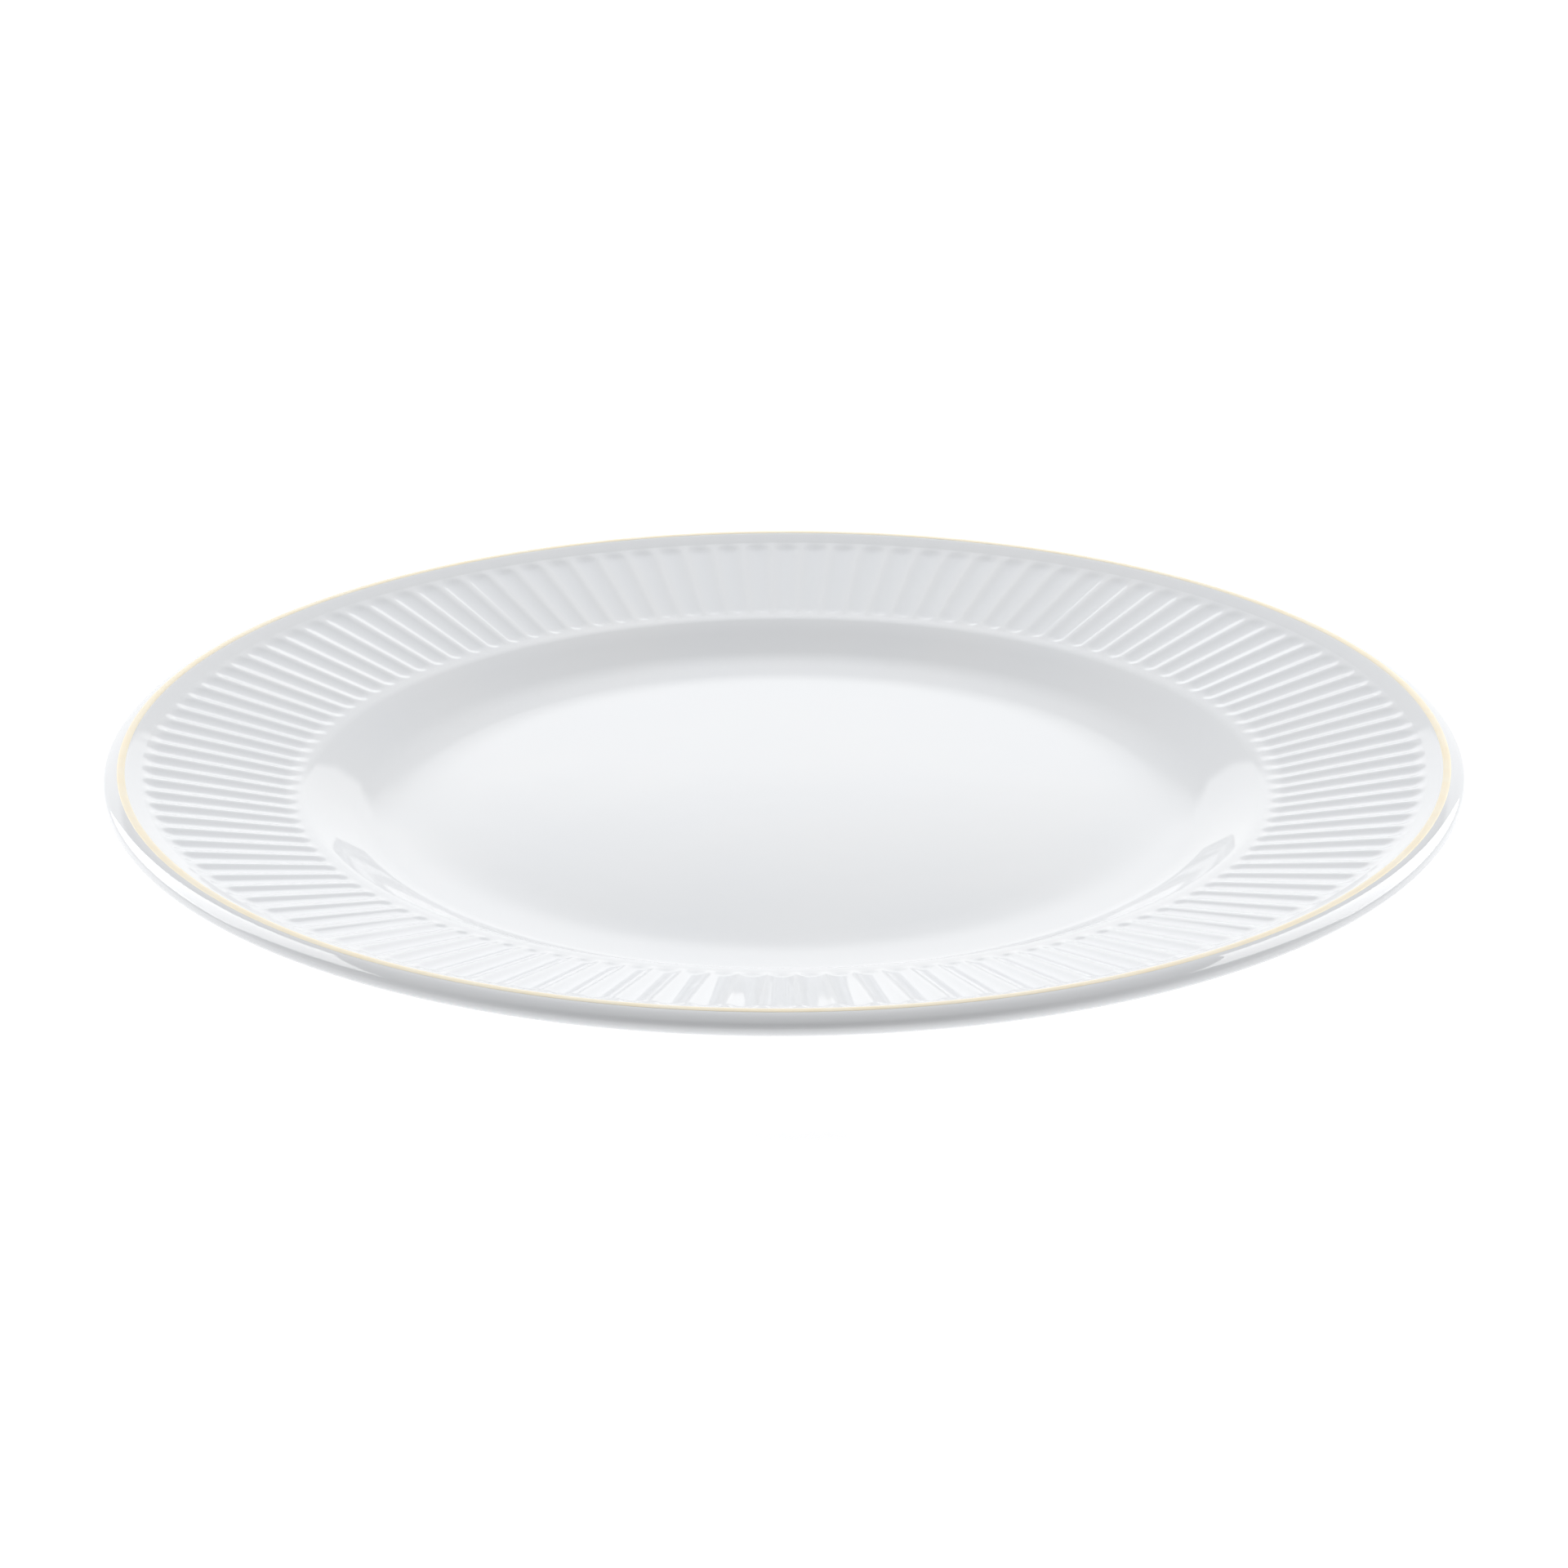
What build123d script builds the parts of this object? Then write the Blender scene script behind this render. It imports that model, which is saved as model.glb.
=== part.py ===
from build123d import *
from math import asin, atan, cos, degrees, radians, sin, tan
import os

# A round china dinner plate standing on its foot ring. Millimetres, +Z up.
# The origin is the centre of the circle that the foot ring stands on, so the table is the plane z = 0.
#
# The plate is fired porcelain (the body) in a thin coat of clear glaze. The glaze is wiped off the bottom
# of the foot ring before firing, which leaves two separate areas of glaze: the outer coat, which runs over
# the face, round the lip and down the back to the foot, and the disc inside the foot ring. The gold line
# is fired on top of the outer coat.

# Driving dimensions of the glazed plate
PLATE_RADIUS = 140.0
CROWN_RADIUS = 136.1  # the circle where the lip is highest, which the gold line follows
CROWN_HEIGHT = 22.0
FLOOR_HEIGHT = 7.5
DISH_RADIUS = 78.0  # where the level floor would meet its slightly dished border in a sharp corner
FLOOR_EDGE_RADIUS = 87.4  # where the well's wall would meet the floor in a sharp corner
FLOOR_EDGE_HEIGHT = 7.9
SHOULDER_RADIUS = 98.7  # where the well's wall would meet the narrow level band above it
SHOULDER_HEIGHT = 13.8
RIM_START_RADIUS = 101.3  # where the level band would meet the sloping rim in a sharp corner
RIM_SLOPE = 12.06  # degrees above the horizontal
RIM_END_RADIUS = 132.2  # where the sloping rim turns up into the raised lip
RIM_END_HEIGHT = 20.62
LIP_RISE_SLOPE = 26.0  # degrees, from the rim's end up to the crown
LIP_BROAD_TURN = 35.0  # degrees that the lip's edge turns through before it tightens
LIP_EDGE_ROUNDING = 1.6
WALL_THICKNESS = 4.6
CEILING_HEIGHT = 3.9  # the underside of the well, inside the foot ring

# Foot ring, at its sharp lower corners
FOOT_OUTER_RADIUS = 89.4
FOOT_INNER_RADIUS = 85.8
FOOT_OUTER_TILT = 20.0  # degrees from the vertical, for the two sides of the foot
FOOT_INNER_TILT = 17.0

# Rounding of the section's corners
DISH_ROUNDING = 250.0
FLOOR_EDGE_ROUNDING = 14.0
SHOULDER_ROUNDING = 6.0
RIM_START_ROUNDING = 6.0
RIM_END_ROUNDING = 2.0
CROWN_ROUNDING = 4.3
BACK_ROUNDING = 12.0
FOOT_ROOT_ROUNDING = 2.5
CEILING_ROUNDING = 3.0
STANDING_EDGE_ROUNDING = 0.4

# Flutes, the round-ended hollows pressed into the rim
FLUTE_COUNT = 120
FLUTE_INNER_END = 101.7
FLUTE_OUTER_END = 131.6
FLUTE_INNER_WIDTH = 4.0
FLUTE_OUTER_WIDTH = 5.2
FLUTE_INNER_DEPTH = 0.42
FLUTE_OUTER_DEPTH = 0.55
CUTTER_MARGIN = 0.25  # how far the flute's cutter stands out of the rim
CUTTER_THICKNESS = 4.0  # of the slab that the cutter is trimmed to

# Glaze and gold
GLAZE_THICKNESS = 0.3
GLAZE_STOP_HEIGHT = 0.8  # the glaze ends this far above the table
GOLD_WIDTH = 1.7
GOLD_THICKNESS = 0.05

PAST_AXIS = 5.0  # sections are drawn this far past the axis, so that an offset leaves the axis alone


def rim_height(radius):
    """Height of the rim's sloping face, which is a cone."""
    return RIM_END_HEIGHT - (RIM_END_RADIUS - radius) * tan(radians(RIM_SLOPE))


def face_outline():
    """The upper side in section, from past the axis out to the crown of the lip."""
    rise = CROWN_HEIGHT - RIM_END_HEIGHT
    corners = [
        (-PAST_AXIS, FLOOR_HEIGHT),
        (DISH_RADIUS, FLOOR_HEIGHT),
        (FLOOR_EDGE_RADIUS, FLOOR_EDGE_HEIGHT),
        (SHOULDER_RADIUS, SHOULDER_HEIGHT),
        (RIM_START_RADIUS, rim_height(RIM_START_RADIUS)),
        (RIM_END_RADIUS, RIM_END_HEIGHT),
        (RIM_END_RADIUS + rise / tan(radians(LIP_RISE_SLOPE)), CROWN_HEIGHT),
        (CROWN_RADIUS, CROWN_HEIGHT),
    ]
    well_roundings = [DISH_ROUNDING, FLOOR_EDGE_ROUNDING, SHOULDER_ROUNDING]
    rim_roundings = [RIM_START_ROUNDING, RIM_END_ROUNDING, CROWN_ROUNDING]
    return FilletPolyline(*corners, radius=well_roundings + rim_roundings)


def lip_outline():
    """The lip's edge: a broad arc down from the crown, a tight one outside and a broad one underneath."""
    turn = radians(LIP_BROAD_TURN)
    broad_radius = (PLATE_RADIUS - CROWN_RADIUS - LIP_EDGE_ROUNDING * (1 - sin(turn))) / sin(turn)
    over = JernArc((CROWN_RADIUS, CROWN_HEIGHT), (1, 0), broad_radius, -LIP_BROAD_TURN)
    edge = JernArc(over @ 1, over % 1, LIP_EDGE_ROUNDING, 2 * LIP_BROAD_TURN - 180)
    under = JernArc(edge @ 1, edge % 1, broad_radius, RIM_SLOPE - LIP_BROAD_TURN)
    return [over, edge, under]


def back_outline(lip_end):
    """The lower side in section, from the end of the lip's edge in over the foot ring and past the axis.

    The foot is drawn one glaze thickness too low: taking the glaze off it brings the bare clay to z = 0.
    """
    wall_slope = atan((SHOULDER_HEIGHT - FLOOR_EDGE_HEIGHT) / (SHOULDER_RADIUS - FLOOR_EDGE_RADIUS))
    wall_radius = FLOOR_EDGE_RADIUS + WALL_THICKNESS * sin(wall_slope)
    wall_height = FLOOR_EDGE_HEIGHT - WALL_THICKNESS * cos(wall_slope)
    rim_back_height = lip_end.Y - (lip_end.X - wall_radius) * tan(radians(RIM_SLOPE))
    back_run = (rim_back_height - wall_height) / (tan(wall_slope) - tan(radians(RIM_SLOPE)))
    back_corner = (wall_radius + back_run, wall_height + back_run * tan(wall_slope))

    outer_lean = tan(radians(FOOT_OUTER_TILT))
    inner_lean = tan(radians(FOOT_INNER_TILT))
    root_height = wall_height - (wall_radius - FOOT_OUTER_RADIUS) * tan(wall_slope)
    root_height /= 1 - outer_lean * tan(wall_slope)
    corners = [
        (lip_end.X, lip_end.Y),
        back_corner,
        (FOOT_OUTER_RADIUS + root_height * outer_lean, root_height),
        (FOOT_OUTER_RADIUS - GLAZE_THICKNESS * outer_lean, -GLAZE_THICKNESS),
        (FOOT_INNER_RADIUS + GLAZE_THICKNESS * inner_lean, -GLAZE_THICKNESS),
        (FOOT_INNER_RADIUS - CEILING_HEIGHT * inner_lean, CEILING_HEIGHT),
        (-PAST_AXIS, CEILING_HEIGHT),
    ]
    return FilletPolyline(*corners, radius=[BACK_ROUNDING, FOOT_ROOT_ROUNDING, 0, 0, CEILING_ROUNDING])


def glazed_section():
    """Everything inside the outer surface of the glaze."""
    lip = lip_outline()
    axis_side = Line((-PAST_AXIS, CEILING_HEIGHT), (-PAST_AXIS, FLOOR_HEIGHT))
    outline = [face_outline(), *lip, back_outline(lip[-1] @ 1), axis_side]
    return make_face([edge for line in outline for edge in line.edges()])


def half(section):
    """The part of a section on the outer side of the axis."""
    size = 2 * PLATE_RADIUS
    return section & Pos(size / 2, 0) * Rectangle(size, size)


def turned(section):
    """The solid that a section sweeps out around the axis."""
    return revolve(Plane.XZ * half(section), Axis.Z)


def flute_cutter(growth):
    """One flute's cutter: two balls and the cone that touches both, trimmed just above the rim.

    The balls' centres stand so far above the rim that each ball reaches the flute's depth and width there.
    """
    widths = (FLUTE_INNER_WIDTH, FLUTE_OUTER_WIDTH)
    depths = (FLUTE_INNER_DEPTH, FLUTE_OUTER_DEPTH)
    ends = (FLUTE_INNER_END + FLUTE_INNER_WIDTH / 2, FLUTE_OUTER_END - FLUTE_OUTER_WIDTH / 2)
    tilt = radians(RIM_SLOPE)
    balls = []
    centres = []
    for width, depth, end in zip(widths, depths, ends):
        ball = (width**2 / 4 + depth**2) / (2 * depth)
        lift = ball - depth
        balls.append(ball + growth)
        centres.append(Vector(end - lift * sin(tilt), 0, rim_height(end) + lift * cos(tilt)))
    inner, outer = balls
    along = centres[1] - centres[0]
    spread = asin((outer - inner) / along.length)
    inner_touch = (-inner * sin(spread), inner * cos(spread))
    outer_touch = (along.length - outer * sin(spread), outer * cos(spread))
    outline = [
        CenterArc((0, 0), inner, degrees(spread) + 90, 90 - degrees(spread)),
        Line(inner_touch, outer_touch),
        CenterArc((along.length, 0), outer, 0, degrees(spread) + 90),
        Line((along.length + outer, 0), (-inner, 0)),
    ]
    profile = make_face([edge for line in outline for edge in line.edges()])
    cutter = revolve(profile, Axis.X)
    cutter = Plane(origin=centres[0], x_dir=along, z_dir=along.cross(Vector(0, 1, 0))) * cutter

    middle = (FLUTE_INNER_END + FLUTE_OUTER_END) / 2
    length = 2 * (FLUTE_OUTER_END - FLUTE_INNER_END)
    slab = Pos(middle, 0, rim_height(middle)) * Rot(0, -RIM_SLOPE, 0)
    slab *= Pos(0, 0, CUTTER_MARGIN - CUTTER_THICKNESS / 2 - growth)
    return cutter & slab * Box(length, 4 * FLUTE_OUTER_WIDTH, CUTTER_THICKNESS)


def fluted(blank, growth):
    """A blank with its ring of flutes cut, each grown by the given amount. A ridge lies on the +X axis."""
    cutter = flute_cutter(growth)
    pitch = 360 / FLUTE_COUNT
    return blank - [Rot(0, 0, pitch * (number + 0.5)) * cutter for number in range(FLUTE_COUNT)]


def porcelain_body():
    """The fired clay, which is the glazed plate less its glaze, with its standing edge softened."""
    section = half(offset(glazed_section(), amount=-GLAZE_THICKNESS))
    standing_corners = section.vertices().group_by(Axis.Y)[0]
    section = fillet(standing_corners, STANDING_EDGE_ROUNDING)
    return fluted(turned(section), GLAZE_THICKNESS)


def glaze_areas(body):
    """The two areas of glaze: the outer coat and the disc inside the foot ring."""
    glazed = fluted(turned(glazed_section()), 0)
    bare_zone = Pos(0, 0, GLAZE_STOP_HEIGHT / 2 - CEILING_HEIGHT / 2)
    bare_zone *= Cylinder(PLATE_RADIUS, GLAZE_STOP_HEIGHT + CEILING_HEIGHT)
    areas = (glazed - body - bare_zone).solids()
    return areas.sort_by(lambda area: area.bounding_box().max.X)


def gold_line():
    """A thin band on the crown of the lip, as thick everywhere as the gold."""
    section = glazed_section()
    strip = Pos(CROWN_RADIUS, CROWN_HEIGHT) * Rectangle(GOLD_WIDTH, WALL_THICKNESS)
    return turned((strip & offset(section, amount=GOLD_THICKNESS)) - section)


body = porcelain_body()
recess_glaze, coat = glaze_areas(body)
nodes = {
    "porcelain_body": body,
    "glaze_coat": coat,
    "foot_recess_glaze": recess_glaze,
    "gold_line": gold_line(),
}

os.makedirs("parts", exist_ok=True)
for name, shape in nodes.items():
    export_step(shape, f"parts/{name}.step")
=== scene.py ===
from math import atan, atan2, ceil, cos, hypot, pi, radians, sin, tan

import bpy
import numpy as np
from mathutils import Matrix, Vector


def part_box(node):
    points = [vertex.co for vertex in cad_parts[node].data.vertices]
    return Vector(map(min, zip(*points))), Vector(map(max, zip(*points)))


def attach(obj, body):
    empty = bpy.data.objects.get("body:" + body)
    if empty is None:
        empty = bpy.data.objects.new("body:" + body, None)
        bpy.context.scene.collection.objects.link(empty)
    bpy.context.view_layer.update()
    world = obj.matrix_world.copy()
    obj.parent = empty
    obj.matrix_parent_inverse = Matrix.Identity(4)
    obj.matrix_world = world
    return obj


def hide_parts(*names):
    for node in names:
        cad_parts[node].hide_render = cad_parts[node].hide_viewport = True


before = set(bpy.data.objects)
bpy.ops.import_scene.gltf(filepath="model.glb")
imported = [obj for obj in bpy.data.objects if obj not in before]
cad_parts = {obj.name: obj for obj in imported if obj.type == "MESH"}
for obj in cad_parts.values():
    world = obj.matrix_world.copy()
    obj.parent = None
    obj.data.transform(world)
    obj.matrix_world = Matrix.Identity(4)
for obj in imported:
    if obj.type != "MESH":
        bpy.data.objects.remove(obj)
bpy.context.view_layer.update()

MM = 0.001

# ---------------------------------------------------------------------------------------------------------
# Sizes of the plate, in millimetres. The outer ones come from the frame and the others repeat the CAD's,
# except that the flutes are 0.2 mm wider, because their softened edges narrow them again.
# ---------------------------------------------------------------------------------------------------------
COAT_LOW, COAT_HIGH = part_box("glaze_coat")
PLATE_RADIUS = round((COAT_HIGH[0] - COAT_LOW[0]) / 2 / MM)
CROWN_HEIGHT = COAT_HIGH[2] / MM
GLAZE_STOP_HEIGHT = COAT_LOW[2] / MM
CEILING_HEIGHT = 3.9
CROWN_RADIUS = 136.1
FLOOR_HEIGHT = 7.5
DISH_RADIUS = 78.0
FLOOR_EDGE_RADIUS = 87.4
FLOOR_EDGE_HEIGHT = 7.9
SHOULDER_RADIUS = 98.7
SHOULDER_HEIGHT = 13.8
RIM_START_RADIUS = 101.3
RIM_SLOPE = radians(12.06)
RIM_END_RADIUS = 132.2
RIM_END_HEIGHT = 20.62
LIP_RISE_SLOPE = radians(26.0)
LIP_BROAD_TURN = radians(35.0)
LIP_EDGE_ROUNDING = 1.6
WALL_THICKNESS = 4.6
FOOT_OUTER_RADIUS = 89.4
FOOT_INNER_RADIUS = 85.8
FOOT_OUTER_TILT = radians(20.0)
FOOT_INNER_TILT = radians(17.0)
DISH_ROUNDING = 250.0
FLOOR_EDGE_ROUNDING = 14.0
SHOULDER_ROUNDING = 6.0
RIM_START_ROUNDING = 6.0
RIM_END_ROUNDING = 2.0
CROWN_ROUNDING = 4.3
BACK_ROUNDING = 12.0
FOOT_ROOT_ROUNDING = 2.5
CEILING_ROUNDING = 3.0
STANDING_EDGE_ROUNDING = 0.4
GLAZE_THICKNESS = 0.3
GOLD_WIDTH = 1.7
GOLD_THICKNESS = 0.05
GOLD_FLATNESS = 6  # the power that keeps the band thick until near its edges
GOLD_EVERY = 3  # it takes every third point of the section

FLUTE_COUNT = 120
FLUTE_PHASE = 0.5  # in pitches: where the first flute's middle lies past the +X axis
FLUTE_INNER_END = 101.7
FLUTE_OUTER_END = 131.6
FLUTE_INNER_WIDTH = 4.2
FLUTE_OUTER_WIDTH = 5.4
FLUTE_INNER_DEPTH = 0.42
FLUTE_OUTER_DEPTH = 0.55
RIDGE_SOFTNESS = 0.25  # how far the glaze rounds a flute's edge
FLUTED_FROM = FLUTE_INNER_END - 1.2  # the softened ends reach a little past the flutes
FLUTED_TO = FLUTE_OUTER_END + 0.9

# How finely the section is drawn and meshed, in millimetres
PATH_STEP = 0.05
LONG_STEP = 6.0  # between rows of the mesh where nothing bends
FLUTE_STEP = 3.0  # along a flute's straight middle
FLUTE_END_STEP = 0.45  # round a flute's ends
FLUTE_END_INSET = 1.0  # from a flute's end to the middle of the stretch that needs the short step
FLUTE_END_REACH = 2.2  # half the length of that stretch
TURN_LIMIT = radians(5.0)  # how far the section may turn from one row to the next
SHARP_EDGE = radians(40)


# ---------------------------------------------------------------------------------------------------------
# The plate's section: a path in (radius, height), from the axis over the face, round the lip and back
# ---------------------------------------------------------------------------------------------------------
def arc(start, heading, radius, turn):
    """Points along an arc that leaves start in the given heading and turns by the given angle."""
    side = 1 if turn > 0 else -1
    centre = start + side * radius * np.array([-sin(heading), cos(heading)])
    count = max(3, ceil(abs(turn) * radius / PATH_STEP))
    angles = heading + np.linspace(0, turn, count + 1) - side * pi / 2
    return centre + radius * np.stack([np.cos(angles), np.sin(angles)], axis=1)


def rounded(corners, roundings):
    """A path through corners, with each inner corner rounded by an arc."""
    corners = [np.array(corner, float) for corner in corners]
    pieces = [corners[:1]]
    for before, corner, after, rounding in zip(corners, corners[1:], corners[2:], roundings):
        into, out = corner - before, after - corner
        heading = atan2(into[1], into[0])
        turn = (atan2(out[1], out[0]) - heading + pi) % (2 * pi) - pi
        reach = rounding * tan(abs(turn) / 2)
        start = corner - reach * into / hypot(*into)
        pieces.append(arc(start, heading, rounding, turn) if rounding else [corner])
    pieces.append(corners[-1:])
    return np.concatenate(pieces)


def rim_height(radius):
    return RIM_END_HEIGHT - (RIM_END_RADIUS - radius) * tan(RIM_SLOPE)


def face_path():
    """The upper side, from the axis out to the crown of the lip."""
    rise = CROWN_HEIGHT - RIM_END_HEIGHT
    corners = [
        (0, FLOOR_HEIGHT),
        (DISH_RADIUS, FLOOR_HEIGHT),
        (FLOOR_EDGE_RADIUS, FLOOR_EDGE_HEIGHT),
        (SHOULDER_RADIUS, SHOULDER_HEIGHT),
        (RIM_START_RADIUS, rim_height(RIM_START_RADIUS)),
        (RIM_END_RADIUS, RIM_END_HEIGHT),
        (RIM_END_RADIUS + rise / tan(LIP_RISE_SLOPE), CROWN_HEIGHT),
        (CROWN_RADIUS, CROWN_HEIGHT),
    ]
    well_roundings = [DISH_ROUNDING, FLOOR_EDGE_ROUNDING, SHOULDER_ROUNDING]
    rim_roundings = [RIM_START_ROUNDING, RIM_END_ROUNDING, CROWN_ROUNDING]
    return rounded(corners, well_roundings + rim_roundings)


def lip_path():
    """The lip's edge: a broad arc down from the crown, a tight one outside and a broad one underneath."""
    overhang = PLATE_RADIUS - CROWN_RADIUS
    broad_radius = (overhang - LIP_EDGE_ROUNDING * (1 - sin(LIP_BROAD_TURN))) / sin(LIP_BROAD_TURN)
    over = arc(np.array([CROWN_RADIUS, CROWN_HEIGHT]), 0, broad_radius, -LIP_BROAD_TURN)
    edge = arc(over[-1], -LIP_BROAD_TURN, LIP_EDGE_ROUNDING, 2 * LIP_BROAD_TURN - pi)
    under = arc(edge[-1], LIP_BROAD_TURN - pi, broad_radius, RIM_SLOPE - LIP_BROAD_TURN)
    return np.concatenate([over, edge, under])


def back_path(lip_end):
    """The lower side, from the end of the lip's edge in over the foot ring to the axis.

    The foot is drawn one glaze thickness too low, because the clay inside it stands on the table.
    """
    wall_slope = atan((SHOULDER_HEIGHT - FLOOR_EDGE_HEIGHT) / (SHOULDER_RADIUS - FLOOR_EDGE_RADIUS))
    wall_radius = FLOOR_EDGE_RADIUS + WALL_THICKNESS * sin(wall_slope)
    wall_height = FLOOR_EDGE_HEIGHT - WALL_THICKNESS * cos(wall_slope)
    rim_back_height = lip_end[1] - (lip_end[0] - wall_radius) * tan(RIM_SLOPE)
    back_run = (rim_back_height - wall_height) / (tan(wall_slope) - tan(RIM_SLOPE))
    outer_lean = tan(FOOT_OUTER_TILT)
    inner_lean = tan(FOOT_INNER_TILT)
    root_height = wall_height - (wall_radius - FOOT_OUTER_RADIUS) * tan(wall_slope)
    root_height /= 1 - outer_lean * tan(wall_slope)
    corners = [
        lip_end,
        (wall_radius + back_run, wall_height + back_run * tan(wall_slope)),
        (FOOT_OUTER_RADIUS + root_height * outer_lean, root_height),
        (FOOT_OUTER_RADIUS - GLAZE_THICKNESS * outer_lean, -GLAZE_THICKNESS),
        (FOOT_INNER_RADIUS + GLAZE_THICKNESS * inner_lean, -GLAZE_THICKNESS),
        (FOOT_INNER_RADIUS - CEILING_HEIGHT * inner_lean, CEILING_HEIGHT),
        (0, CEILING_HEIGHT),
    ]
    standing_rounding = STANDING_EDGE_ROUNDING + GLAZE_THICKNESS
    foot_roundings = [FOOT_ROOT_ROUNDING, standing_rounding, standing_rounding, CEILING_ROUNDING]
    return rounded(corners, [BACK_ROUNDING] + foot_roundings)


def without_repeats(path):
    """The path without points that lie on the one before."""
    steps = np.hypot(*np.diff(path, axis=0).T)
    return path[np.concatenate([[True], steps > 1e-6])]


def resampled(path, step):
    """The same path with a point at least every step, its corners kept."""
    pieces = []
    for start, end in zip(path, path[1:]):
        count = ceil(hypot(*(end - start)) / step)
        pieces.append(start + (end - start) * np.linspace(0, 1, count, endpoint=False)[:, None])
    pieces.append(path[-1:])
    return np.concatenate(pieces)


def plate_path():
    """The whole section of the glazed surface. Each row is radius, height and the outward normal."""
    lip = lip_path()
    path = np.concatenate([face_path(), lip, back_path(lip[-1])])
    path = resampled(without_repeats(path), PATH_STEP)
    along = np.gradient(path, axis=0)
    along /= np.hypot(*along.T)[:, None]
    return np.column_stack([path, -along[:, 1], along[:, 0]])


def inset(path, depth):
    """The path moved into the plate along its normals."""
    moved = path.copy()
    moved[:, :2] -= depth * path[:, 2:]
    return moved


def is_fluted(row):
    return row[3] > 0 and FLUTED_FROM < row[0] < FLUTED_TO


def longest_step(row, coarseness):
    """How far apart rows may lie at this place on the section."""
    if not is_fluted(row):
        return LONG_STEP
    from_inner = abs(row[0] - FLUTE_INNER_END - FLUTE_END_INSET)
    from_outer = abs(row[0] - FLUTE_OUTER_END + FLUTE_END_INSET)
    if min(from_inner, from_outer) < FLUTE_END_REACH:
        return FLUTE_END_STEP * coarseness
    return FLUTE_STEP


def picked_rows(path, coarseness):
    """The rows of a path that the mesh needs: one wherever it has turned or run far enough."""
    turn_limit = TURN_LIMIT * coarseness
    rows = [path[0]]
    for row in path[1:-1]:
        last = rows[-1]
        run = hypot(row[0] - last[0], row[1] - last[1])
        turned = hypot(row[2] - last[2], row[3] - last[3])
        if run > longest_step(row, coarseness) or (turned > turn_limit and run > PATH_STEP):
            rows.append(row)
    rows.append(path[-1])
    return np.array(rows)


# ---------------------------------------------------------------------------------------------------------
# Meshes turned about the axis
# ---------------------------------------------------------------------------------------------------------
FINE_SPLITS = np.array([0, 0.045, 0.09, 0.14, 0.2, 0.32, 0.5, 0.68, 0.8, 0.86, 0.91, 0.955])
COARSE_SPLITS = np.array([0, 0.1, 0.25, 0.5, 0.75, 0.9])
PLAIN_STEPS = 360


def flute_drop(radius, share, growth):
    """How far a flute's hollow lies under the rim. Share is the place across the pitch, 0 on a ridge.

    The hollow follows two balls and a cone between them. Growth is for the clay under the glaze.
    """
    widths = np.array([FLUTE_INNER_WIDTH, FLUTE_OUTER_WIDTH])
    depths = np.array([FLUTE_INNER_DEPTH, FLUTE_OUTER_DEPTH])
    ends = np.array([FLUTE_INNER_END, FLUTE_OUTER_END]) + widths * (0.5, -0.5)
    balls = (widths**2 / 4 + depths**2) / (2 * depths)
    ball = np.interp(radius, ends, balls)
    lift = np.interp(radius, ends, balls - depths)
    past_end = max(ends[0] - radius, 0, radius - ends[1])
    aside = radius * radians(360 / FLUTE_COUNT) * (share - 0.5)
    inside = np.maximum((ball + growth) ** 2 - aside**2 - past_end**2, 0)
    drop = np.sqrt(inside) - lift - growth
    return (drop + np.hypot(drop, RIDGE_SOFTNESS)) / 2


def ring(row, growth):
    """One row turned about the axis: x, y and z in millimetres and the flute's drop at each point."""
    radius, height, out, up = row
    if radius < 0.01:
        return np.array([[0, 0, height, 0]])
    pitch = 2 * pi / FLUTE_COUNT
    if is_fluted(row):
        splits = COARSE_SPLITS if growth else FINE_SPLITS
        shares = np.tile(splits, FLUTE_COUNT)
        azimuths = pitch * (np.repeat(np.arange(FLUTE_COUNT), len(splits)) + shares + FLUTE_PHASE - 0.5)
        drop = flute_drop(radius, shares, growth)
    else:
        azimuths = np.linspace(0, 2 * pi, PLAIN_STEPS, endpoint=False) + pitch * (FLUTE_PHASE - 0.5)
        drop = np.zeros(PLAIN_STEPS)
    radii = radius - drop * out
    return np.column_stack([radii * np.cos(azimuths), radii * np.sin(azimuths), height - drop * up, drop])


def band(first, second):
    """Faces between two rings of vertex numbers, where one count is a multiple of the other."""
    if len(first) == len(second):
        return np.column_stack([first, second, np.roll(second, -1), np.roll(first, -1)]).tolist()
    fine, coarse = (first, second) if len(first) > len(second) else (second, first)
    ratio = len(fine) // len(coarse)
    middle = ratio // 2
    next_fine = np.roll(fine, -1)
    next_coarse = np.roll(coarse, -1)
    faces = []
    for number, (start, end) in enumerate(zip(fine, next_fine)):
        part, place = divmod(number, ratio)
        corner = coarse[part] if place < middle else next_coarse[part]
        faces.append([start, corner, end])
        if place == middle and len(coarse) > 1:
            faces.append([start, coarse[part], next_coarse[part]])
    return faces if fine is first else [face[::-1] for face in faces]


def turned(name, rows, growths):
    """A closed mesh turned about the axis, from rows that start and end on it or that form a loop."""
    rings = []
    vertices = []
    for row, growth in zip(rows, growths):
        points = ring(row, growth)
        rings.append(np.arange(len(points)) + len(vertices))
        vertices.extend(points.tolist())
    following = rings[1:] + rings[:1] if len(rings[0]) > 1 else rings[1:]
    faces = []
    for first, second in zip(rings, following):
        faces += band(first, second)
    mesh = bpy.data.meshes.new(name)
    vertices = np.array(vertices)
    mesh.from_pydata((vertices[:, :3] * MM).tolist(), [], faces)
    hollow = mesh.attributes.new("hollow", "FLOAT", "POINT")
    hollow.data.foreach_set("value", vertices[:, 3] / FLUTE_OUTER_DEPTH)
    mesh.shade_smooth()
    mesh.set_sharp_from_angle(angle=SHARP_EDGE)
    piece = bpy.data.objects.new(name, mesh)
    bpy.context.scene.collection.objects.link(piece)
    return piece


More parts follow.
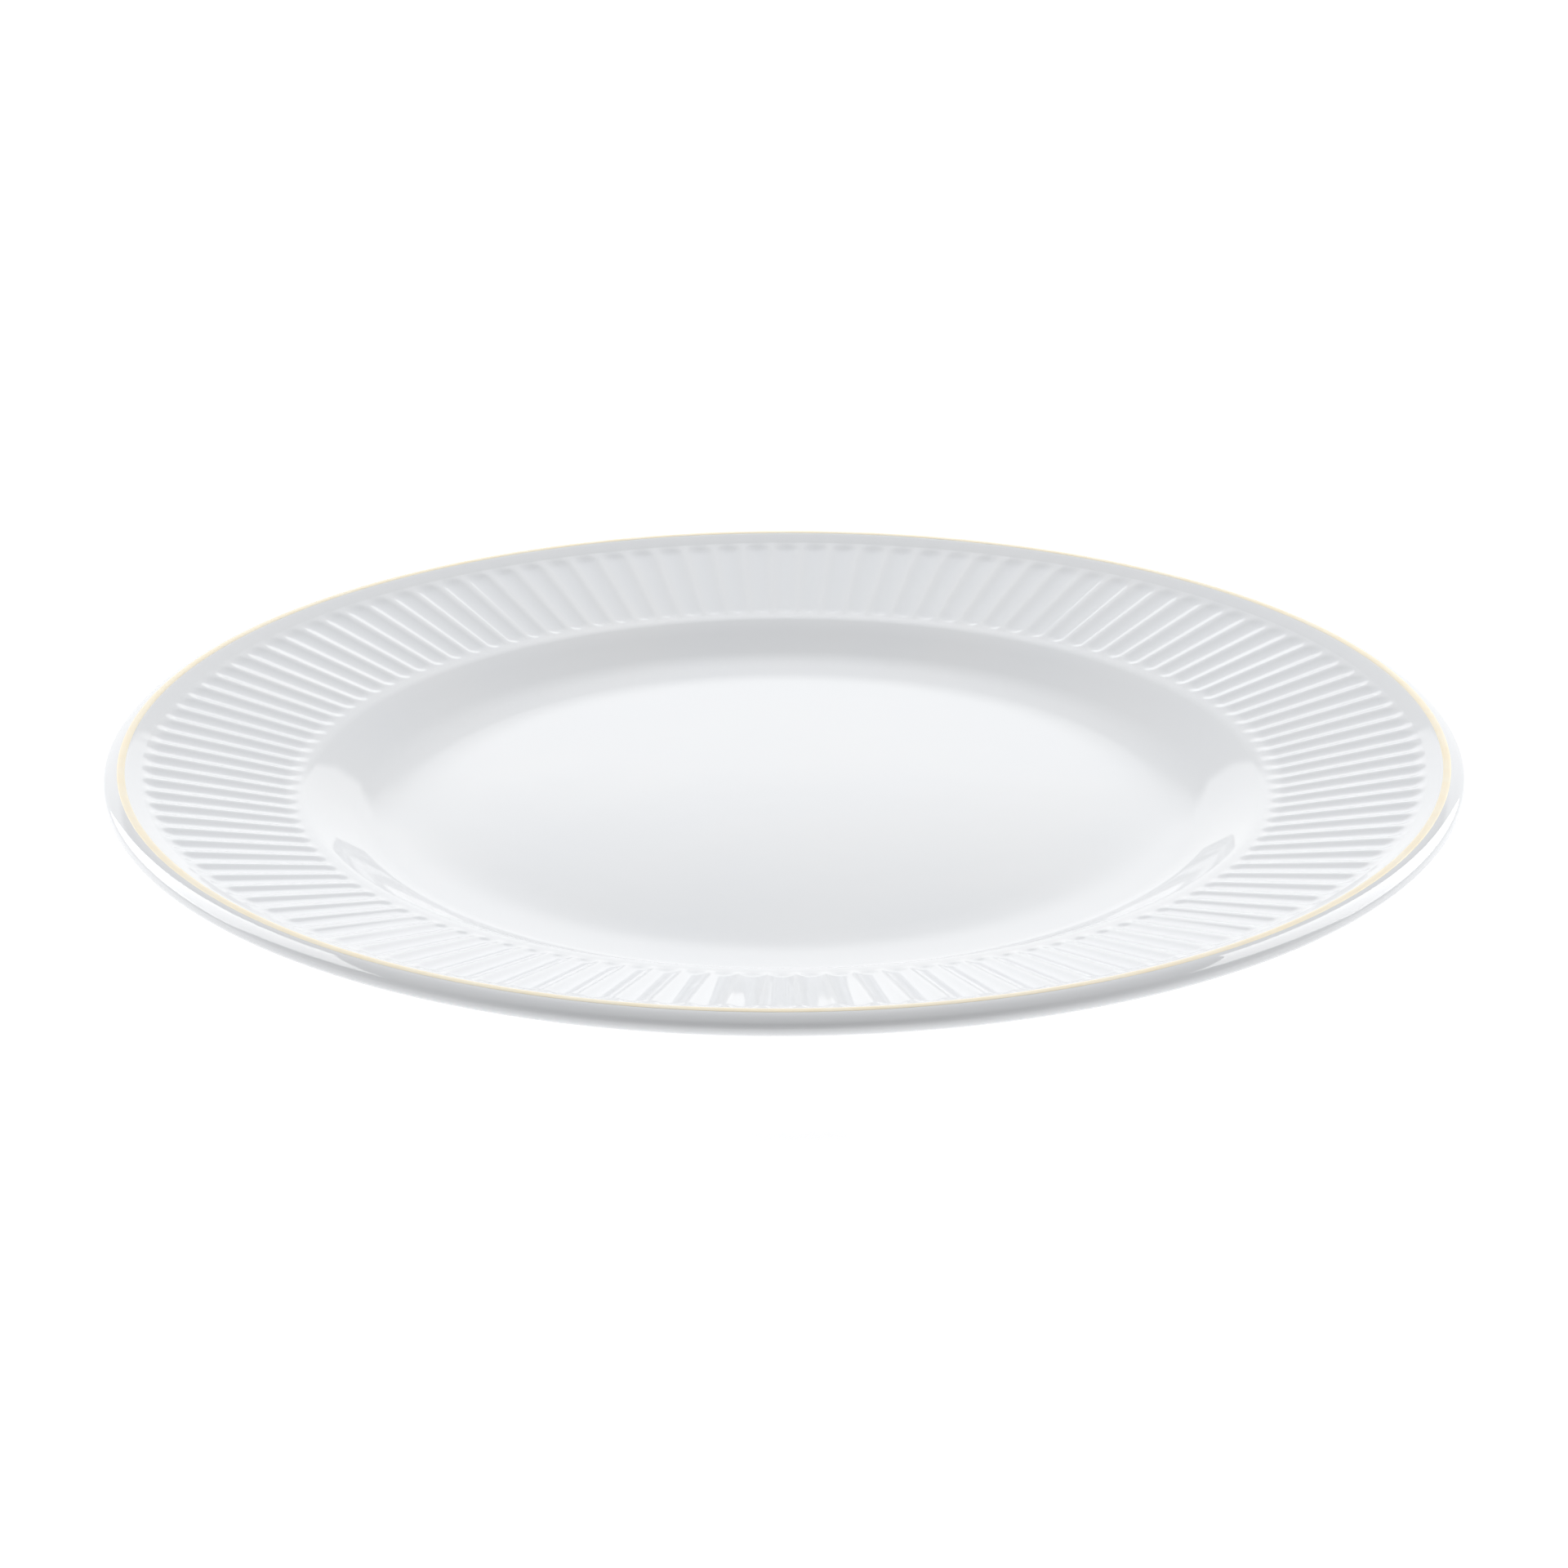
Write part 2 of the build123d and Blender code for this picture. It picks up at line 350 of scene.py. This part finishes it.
def lined(outer, inner):
    """Rows and growths of a coat: out along its outer side and back along its inner one."""
    outer_rows = picked_rows(outer, 1)
    inner_rows = picked_rows(inner, 2)[::-1]
    growths = [0] * len(outer_rows) + [GLAZE_THICKNESS] * len(inner_rows)
    return np.concatenate([outer_rows, inner_rows]), growths


def plate_pieces():
    """The clay, the two areas of glaze and the gold line."""
    surface = plate_path()
    clay = inset(surface, GLAZE_THICKNESS)
    low = np.flatnonzero(surface[:, 1] < GLAZE_STOP_HEIGHT)
    outside, inside = low[0], low[-1]

    clay_rows = picked_rows(clay, 2)
    body = turned("body", clay_rows, [GLAZE_THICKNESS] * len(clay_rows))
    coat = turned("coat", *lined(surface[:outside], clay[:outside]))
    rows, growths = lined(clay[inside:][::-1], surface[inside:][::-1])
    recess = turned("recess_coat", rows, growths)
    return body, coat, recess, gold_ring(surface)


def gold_ring(surface):
    """The gold line: a thin band on the crown whose two edges thin out."""
    across = (surface[:, 0] - CROWN_RADIUS) / (GOLD_WIDTH / 2)
    on_crown = (np.abs(across) <= 1) & (surface[:, 1] > RIM_END_HEIGHT)
    strip = surface[on_crown][::GOLD_EVERY]
    across = (strip[:, 0] - CROWN_RADIUS) / (GOLD_WIDTH / 2)
    thickness = GOLD_THICKNESS * (1 - across**GOLD_FLATNESS)
    top = strip.copy()
    top[:, :2] += thickness[:, None] * strip[:, 2:]
    bottom = inset(strip, GOLD_THICKNESS / 2)[::-1]
    return turned("gold_ring", np.concatenate([top, bottom]), [0] * (2 * len(strip)))


# ---------------------------------------------------------------------------------------------------------
# Materials
# ---------------------------------------------------------------------------------------------------------
def new_material(name):
    """An empty node material: its node tree and its Principled shader."""
    material = bpy.data.materials.new(name)
    material.use_nodes = True
    tree = material.node_tree
    return material, tree, tree.nodes["Principled BSDF"]


def add_node(tree, kind, inputs, **properties):
    """A new node, with each input given as a value or as the socket that feeds it."""
    made = tree.nodes.new(kind)
    for name, value in properties.items():
        setattr(made, name, value)
    for name, value in inputs.items():
        if isinstance(value, bpy.types.NodeSocket):
            tree.links.new(value, made.inputs[name])
        else:
            made.inputs[name].default_value = value
    return made


def maths(tree, operation, first, second):
    """The result of a node that works on two numbers."""
    return add_node(tree, "ShaderNodeMath", {0: first, 1: second}, operation=operation).outputs[0]


def object_place(tree):
    """The point being shaded, in metres from its own object's origin."""
    return add_node(tree, "ShaderNodeTexCoord", {}).outputs["Object"]


def noise(tree, place, size, detail=2.0):
    """Soft noise from 0 to 1 whose lumps are about size metres across."""
    inputs = {"Vector": place, "Scale": 1 / size, "Detail": detail}
    return add_node(tree, "ShaderNodeTexNoise", inputs).outputs["Fac"]


def spread(tree, value, low, high, wide=(0.3, 0.7)):
    """Maps a value that mostly lies in wide onto low to high."""
    inputs = {"Value": value, "From Min": wide[0], "From Max": wide[1], "To Min": low, "To Max": high}
    return add_node(tree, "ShaderNodeMapRange", inputs).outputs["Result"]


def blend(tree, share, first, second):
    """A colour that runs from the first to the second as share goes from 0 to 1."""
    mix = add_node(tree, "ShaderNodeMix", {}, data_type="RGBA")
    factor, colour_a, colour_b = mix.inputs[0], mix.inputs[6], mix.inputs[7]
    tree.links.new(share, factor)
    for socket, colour in ((colour_a, first), (colour_b, second)):
        if isinstance(colour, bpy.types.NodeSocket):
            tree.links.new(colour, socket)
        else:
            socket.default_value = (*colour, 1)
    return mix.outputs[2]


def bumped(tree, height, depth, under=None):
    """A normal that follows a height from 0 to 1 as relief depth metres deep."""
    inputs = {"Height": height, "Distance": depth, "Strength": 1.0}
    if under:
        inputs["Normal"] = under
    return add_node(tree, "ShaderNodeBump", inputs).outputs["Normal"]


GLAZE_WHITES = ((0.828, 0.845, 0.868), (0.84, 0.853, 0.87))
GLAZE_POOLED = (0.812, 0.834, 0.864)  # where the glaze lies thick
GLAZE_IOR = 1.5
GOLD_TONES = ((1.0, 0.9, 0.7), (1.0, 0.93, 0.77))
GOLD_METALLIC = 0.2  # low, so that the line looks pale in soft light
GOLD_STROKE_STRETCH = 0.004  # metres of noise for each radian along the line
CLAY_TONES = ((0.72, 0.69, 0.64), (0.8, 0.785, 0.76))
CLAY_SPECK = (0.5, 0.46, 0.41)


def glaze_material():
    """Clear glaze on white clay: glossy, gently uneven, and cooler where it lies thick in the flutes."""
    material, tree, shader = new_material("glazed_white")
    place = object_place(tree)
    hollow = add_node(tree, "ShaderNodeAttribute", {}, attribute_name="hollow").outputs["Fac"]
    pooled = spread(tree, hollow, 0, 0.6, (0, 1))
    clay_tone = spread(tree, noise(tree, place, 0.035), 0, 1)
    clay_white = blend(tree, clay_tone, *GLAZE_WHITES)
    swell = noise(tree, place, 0.014, 1)
    peel = noise(tree, place, 0.0022, 1)
    relief = bumped(tree, peel, 0.4e-6, bumped(tree, swell, 9e-6))
    tree.links.new(blend(tree, pooled, clay_white, GLAZE_POOLED), shader.inputs["Base Color"])
    tree.links.new(spread(tree, noise(tree, place, 0.02, 3), 0.02, 0.045), shader.inputs["Roughness"])
    tree.links.new(relief, shader.inputs["Normal"])
    shader.inputs["IOR"].default_value = GLAZE_IOR
    return material


def gold_material():
    """Pale gold, brushed along the line as it was banded on a wheel."""
    material, tree, shader = new_material("fired_gold")
    place = object_place(tree)
    split = add_node(tree, "ShaderNodeSeparateXYZ", {"Vector": place}).outputs
    azimuth = maths(tree, "ARCTAN2", split["Y"], split["X"])
    flat = add_node(tree, "ShaderNodeVectorMath", {0: place, 1: (1, 1, 0)}, operation="MULTIPLY")
    radius = add_node(tree, "ShaderNodeVectorMath", {0: flat.outputs[0]}, operation="LENGTH").outputs["Value"]
    along = maths(tree, "MULTIPLY", azimuth, GOLD_STROKE_STRETCH)
    banded = add_node(tree, "ShaderNodeCombineXYZ", {"X": radius, "Y": along}).outputs["Vector"]
    strokes = noise(tree, banded, 0.00025, 2)
    patches = noise(tree, place, 0.006)
    tone = blend(tree, spread(tree, patches, 0, 1), *GOLD_TONES)
    tree.links.new(tone, shader.inputs["Base Color"])
    tree.links.new(spread(tree, strokes, 0.35, 0.48), shader.inputs["Roughness"])
    tree.links.new(bumped(tree, strokes, 4e-6), shader.inputs["Normal"])
    shader.inputs["Metallic"].default_value = GOLD_METALLIC
    return material


def biscuit_material():
    """Bare fired clay, as on the edge the plate stands on: dry, off-white and finely speckled."""
    material, tree, shader = new_material("bare_biscuit")
    place = object_place(tree)
    speckle = noise(tree, place, 0.0004, 3)
    stain = noise(tree, place, 0.006)
    tone = blend(tree, spread(tree, stain, 0, 1), *CLAY_TONES)
    grain = spread(tree, speckle, 0, 0.5, (0.6, 0.75))
    tree.links.new(blend(tree, grain, tone, CLAY_SPECK), shader.inputs["Base Color"])
    tree.links.new(spread(tree, speckle, 0.7, 0.9), shader.inputs["Roughness"])
    tree.links.new(bumped(tree, speckle, 30e-6), shader.inputs["Normal"])
    return material


# ---------------------------------------------------------------------------------------------------------
# The plate
# ---------------------------------------------------------------------------------------------------------
def build_plate():
    body, coat, recess, gold = plate_pieces()
    glaze = glaze_material()
    plan = [
        (body, "porcelain_body", "bare_porcelain", biscuit_material()),
        (coat, "glaze_coat", "white_glaze", glaze),
        (recess, "foot_recess_glaze", "white_glaze", glaze),
        (gold, "gold_line", "gold", gold_material()),
    ]
    for piece, node, slot, material in plan:
        piece.data.materials.append(material)
        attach(piece, "root")
        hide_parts(node)


build_plate()


# ---------------------------------------------------------------------------------------------------------
# Table, light and camera
# ---------------------------------------------------------------------------------------------------------
CAMERA_DISTANCE = 0.9534
CAMERA_TURN = radians(-1.2)  # about +Z, so that the ridges stand where they do in front of the camera
CAMERA_ELEVATION = radians(20.938)
CAMERA_DROP = radians(0.558)  # how far under the lip's middle the camera points
CAMERA_ROLL = radians(-0.191)
CAMERA_LENS = 105.74  # millimetres, on a sensor 36 mm wide
SENSOR_WIDTH = 36

CARD_LIGHT = 1.1
CARD_TOP = radians(22.5)
CARD_FADE = radians(1.2)
CARD_HALF_WIDTH = radians(60)
CARD_SIDE_FADE = 0.3  # radians
AMBIENT = 0.25  # at the horizon
AMBIENT_TOP = 0.29  # straight above
TABLE_HALF = 4.0  # metres
TABLE_GREYS = ((0.34, 0.34, 0.34), (0.36, 0.36, 0.36))
TABLE_GLOW = 0.8
WHITE = (1, 1, 1, 1)

BOX_SIZE = (1.1, 1.1)  # metres, width by height
BOX_PLACE = (1.0, 0.62, 0.85)  # of the right one; the left one is its mirror image
BOX_FACING = (-1, -0.4, -0.3)
BOX_RADIANCES = {"right_box": 4.35, "left_box": 4.25}


def build_table():
    """A plain pale table that glows, so that it stays white in the picture."""
    mesh = bpy.data.meshes.new("table")
    corners = [(x * TABLE_HALF, y * TABLE_HALF, 0) for x, y in ((-1, -1), (1, -1), (1, 1), (-1, 1))]
    mesh.from_pydata(corners, [], [(0, 1, 2, 3)])
    table = bpy.data.objects.new("table", mesh)
    bpy.context.scene.collection.objects.link(table)
    material, tree, shader = new_material("lit_table")
    clouds = noise(tree, object_place(tree), 0.05)
    paint = blend(tree, spread(tree, clouds, 0, 1), *TABLE_GREYS)
    tree.links.new(paint, shader.inputs["Base Color"])
    tree.links.new(spread(tree, clouds, 0.85, 0.95), shader.inputs["Roughness"])
    shader.inputs["Emission Color"].default_value = WHITE
    shader.inputs["Emission Strength"].default_value = TABLE_GLOW
    mesh.materials.append(material)


def build_world():
    """A white card behind the plate that ends at a height, and a nearly even dim light elsewhere."""
    world = bpy.data.worlds.new("studio")
    bpy.context.scene.world = world
    world.use_nodes = True
    tree = world.node_tree
    toward = add_node(tree, "ShaderNodeTexCoord", {}).outputs["Generated"]
    height = add_node(tree, "ShaderNodeSeparateXYZ", {"Vector": toward}).outputs["Z"]
    behind = add_node(tree, "ShaderNodeVectorMath", {0: toward, 1: (0, 1, 0)}, operation="DOT_PRODUCT")
    low = spread(tree, height, 1, 0, (sin(CARD_TOP - CARD_FADE), sin(CARD_TOP + CARD_FADE)))
    sides = (cos(CARD_HALF_WIDTH + CARD_SIDE_FADE), cos(CARD_HALF_WIDTH))
    middle = spread(tree, behind.outputs["Value"], 0, 1, sides)
    card = maths(tree, "MULTIPLY", maths(tree, "MULTIPLY", low, middle), CARD_LIGHT)
    dome = spread(tree, height, AMBIENT, AMBIENT_TOP, (0, 1))
    strength = maths(tree, "MAXIMUM", card, dome)
    tree.nodes["Background"].inputs["Color"].default_value = WHITE
    tree.links.new(strength, tree.nodes["Background"].inputs["Strength"])


def soft_box(name, place, facing, radiance):
    """A rectangular light at a place, in metres, that faces along a direction."""
    width, height = BOX_SIZE
    lamp = bpy.data.lights.new(name, "AREA")
    lamp.shape = "RECTANGLE"
    lamp.size = width
    lamp.size_y = height
    lamp.energy = radiance * pi * width * height
    box = bpy.data.objects.new(name, lamp)
    bpy.context.scene.collection.objects.link(box)
    box.location = place
    box.rotation_euler = (-Vector(facing)).to_track_quat("Z", "Y").to_euler()


def build_soft_boxes():
    """One soft box on each side of the plate, behind it and above it."""
    for side, (name, radiance) in zip((1, -1), BOX_RADIANCES.items()):
        place = (side * BOX_PLACE[0], *BOX_PLACE[1:])
        facing = (side * BOX_FACING[0], *BOX_FACING[1:])
        soft_box(name, place, facing, radiance)


def build_camera():
    """The camera stands in front of the plate (-Y), above it, and is turned about the plate's axis."""
    camera = bpy.data.objects.new("camera", bpy.data.cameras.new("camera"))
    bpy.context.scene.collection.objects.link(camera)
    camera.data.lens = CAMERA_LENS
    camera.data.sensor_width = SENSOR_WIDTH
    back = CAMERA_DISTANCE * cos(CAMERA_ELEVATION)
    rise = CAMERA_DISTANCE * sin(CAMERA_ELEVATION)
    turn = Matrix.Rotation(CAMERA_TURN, 4, "Z")
    place = turn @ Matrix.Translation((0, -back, CROWN_HEIGHT * MM + rise))
    tilt = Matrix.Rotation(pi / 2 - CAMERA_ELEVATION - CAMERA_DROP, 4, "X")
    camera.matrix_world = place @ tilt @ Matrix.Rotation(CAMERA_ROLL, 4, "Z")
    bpy.context.scene.camera = camera


build_table()
build_world()
build_soft_boxes()
build_camera()
bpy.context.scene.view_settings.view_transform = "Standard"
